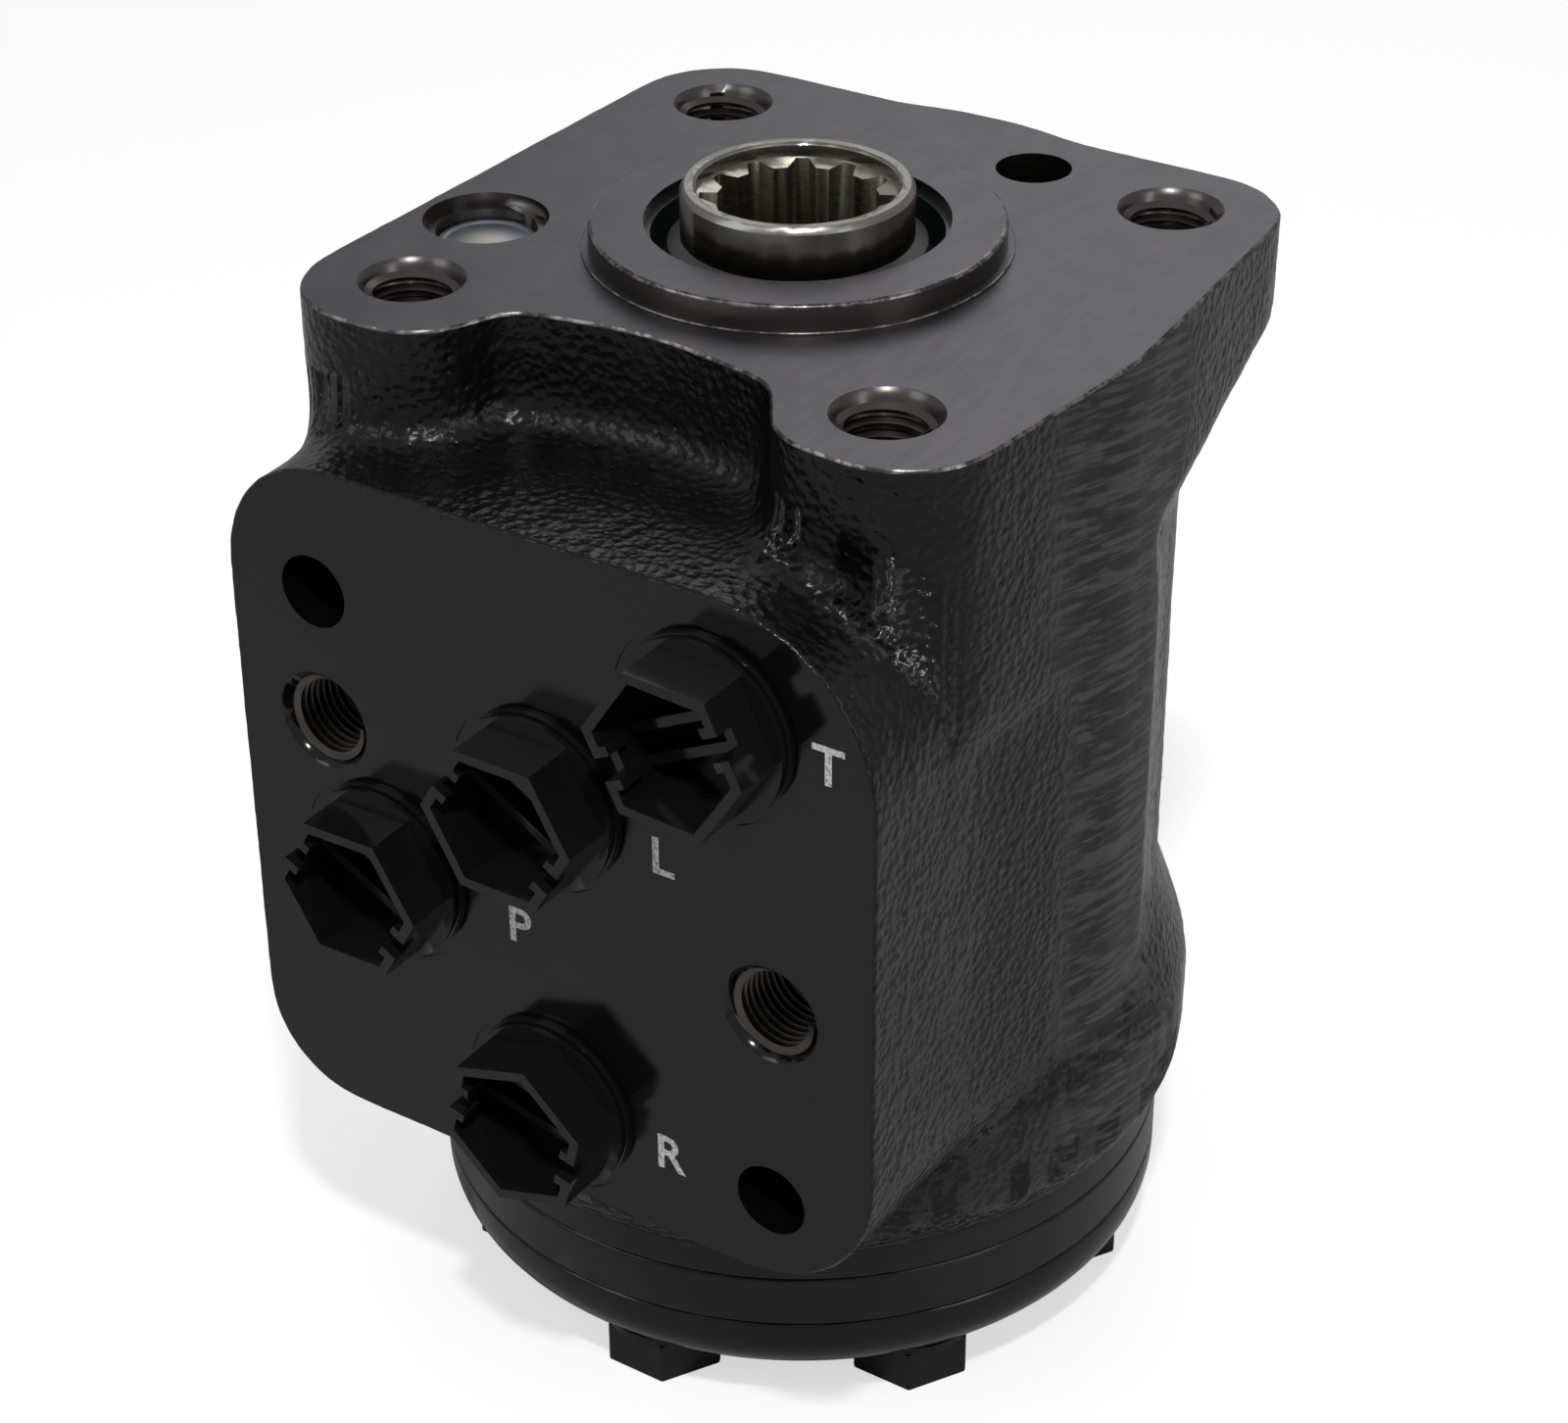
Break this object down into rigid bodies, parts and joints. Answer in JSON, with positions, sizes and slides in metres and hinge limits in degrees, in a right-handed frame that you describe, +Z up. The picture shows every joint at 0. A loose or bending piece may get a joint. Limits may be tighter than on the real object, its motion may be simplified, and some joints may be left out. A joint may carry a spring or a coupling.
{
  "type": "orbital hydraulic steering unit",
  "caption": "Hydrostatic steering unit: cast housing with square column flange, port block, splined spool and a gear drum beneath.",
  "frame": {"origin": "centre of the column flange's top face, on the spool's axis", "axes": "+Z up out of the flange towards the steering column; -Y out of the port face; +X to the right when looking at the port face"},
  "size_m": [0.089, 0.1027, 0.1346],
  "materials": {
    "black_casting": "gloss",
    "polished_steel": "polished",
    "bearing_steel": "ground",
    "spring_steel": "satin",
    "screw_steel": "satin",
    "black_ring": "satin",
    "black_cover": "gloss",
    "zinc": "satin",
    "black_plastic": "gloss",
    "black_rubber": "matte",
    "cage_plastic": "matte"
  },
  "bodies": {
    "housing_group": {"housing": "black_casting", "thrust_race_upper": "bearing_steel", "gear_ring": "black_ring", "distributor_plate": "black_ring", "end_cover": "black_cover", "cover_screws": "screw_steel", "check_valve_screw": "screw_steel", "screw_washers": "screw_steel", "check_bush": "polished_steel", "dust_seal": "black_rubber", "dust_seal_case": "zinc", "shaft_seal": "black_rubber", "flange_expander_plug": "zinc", "housing_o_ring": "black_rubber", "plate_o_ring": "black_rubber", "ring_o_ring": "black_rubber", "port_plug_t": "black_plastic", "port_plug_l": "black_plastic", "port_plug_p": "black_plastic", "port_plug_r": "black_plastic"},
    "sleeve_group": {"sleeve": "polished_steel", "cross_pin": "bearing_steel", "flat_springs": "spring_steel", "curved_springs": "spring_steel", "spring_ring": "polished_steel", "thrust_race_lower": "bearing_steel"},
    "spool_group": {"spool": "polished_steel"},
    "needle_group": {"needle_cage": "cage_plastic", "thrust_needles": "bearing_steel"},
    "orbit_group": {"drive_spacer": "screw_steel"},
    "wheel_group": {"gear_wheel": "polished_steel"},
    "shaft_group": {"cardan_shaft": "bearing_steel"},
    "ball_group": {"check_ball": "bearing_steel"}
  },
  "joints": [
    {"name": "sleeve_turn", "type": "hinge", "parent": "housing_group", "child": "sleeve_group", "pos_m": [0, 0, -0.041], "axis": [0, 0, 1], "continuous": true},
    {"name": "spool_twist", "type": "hinge", "parent": "sleeve_group", "child": "spool_group", "pos_m": [0, 0, -0.041], "axis": [0, 0, 1], "range_deg": [-8, 8], "stiffness_Nm_per_rad": 6},
    {"name": "needle_turn", "type": "hinge", "parent": "housing_group", "child": "needle_group", "pos_m": [0, 0, -0.0146], "axis": [0, 0, 1], "continuous": true},
    {"name": "orbit_turn", "type": "hinge", "parent": "housing_group", "child": "orbit_group", "pos_m": [0, 0, -0.1124], "axis": [0, 0, 1], "continuous": true},
    {"name": "wheel_turn", "type": "hinge", "parent": "orbit_group", "child": "wheel_group", "pos_m": [0.00023, -0.00289, -0.10975], "axis": [0, 0, 1], "continuous": true},
    {"name": "shaft_turn", "type": "hinge", "parent": "orbit_group", "child": "shaft_group", "pos_m": [0, 0, -0.041], "axis": [-0.0033, 0.042, 0.9991], "continuous": true},
    {"name": "ball_lift", "type": "slide", "parent": "housing_group", "child": "ball_group", "axis": [0, 0, 1], "range_m": [0, 0.0015]}
  ],
  "couplings": [
    {"joint": "needle_turn", "follows": "sleeve_turn", "ratio": 0.5},
    {"joint": "orbit_turn", "follows": "sleeve_turn", "ratio": -6},
    {"joint": "wheel_turn", "follows": "sleeve_turn", "ratio": 7},
    {"joint": "shaft_turn", "follows": "sleeve_turn", "ratio": 7}
  ]
}
